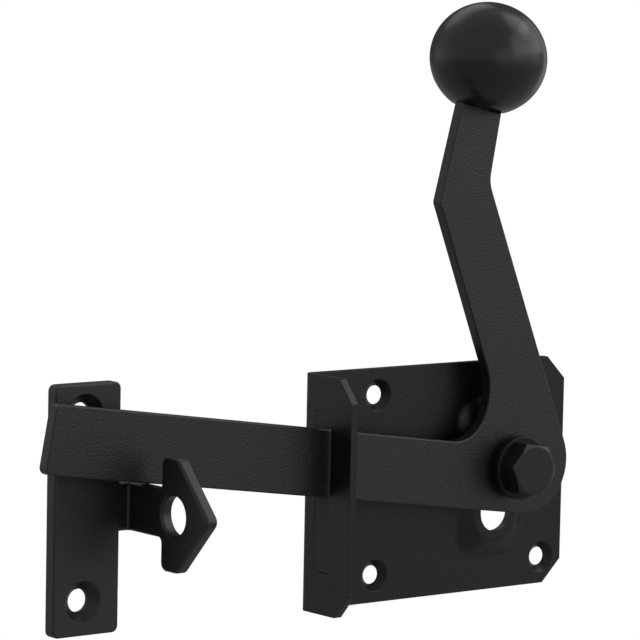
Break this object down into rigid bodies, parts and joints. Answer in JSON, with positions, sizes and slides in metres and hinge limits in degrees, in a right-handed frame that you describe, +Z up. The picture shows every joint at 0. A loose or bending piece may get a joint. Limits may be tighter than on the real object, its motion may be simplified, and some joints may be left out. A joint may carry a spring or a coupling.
{
  "type": "gate latch",
  "caption": "Lift-up gate latch: a cranked flat-steel lever with a ball knob drops behind the arrow-shaped head of a strike that also takes a padlock.",
  "frame": {"origin": "midway between the two left screw holes of the base plate, on the wall plane", "axes": "+X to the right seen from the front, away from the strike; +Y into the wall; +Z up"},
  "size_m": [0.2538, 0.0623, 0.2291],
  "materials": {
    "base_plate": "satin black coating",
    "strike": "satin black coating",
    "lever": "satin black coating with a fine grain",
    "ball_knob": "half gloss black plastic",
    "fasteners": "satin black coating",
    "insert": "plain brass",
    "stud": "plain steel"
  },
  "bodies": {
    "fixed": {"base_plate": "base_plate", "strike": "strike", "pivot_bolt": "fasteners", "front_washer": "fasteners", "rear_washer": "fasteners", "pivot_sleeve": "fasteners", "nut_plate": "fasteners"},
    "lever": {"lever": "lever", "ball_knob": "ball_knob", "knob_bush": "insert", "knob_stud": "stud"}
  },
  "joints": [
    {"name": "lever_pivot", "type": "hinge", "parent": "fixed", "child": "lever", "pos_m": [0.058, -0.0129, 0.0048], "axis": [0, 1, 0], "range_deg": [0, 4]}
  ]
}
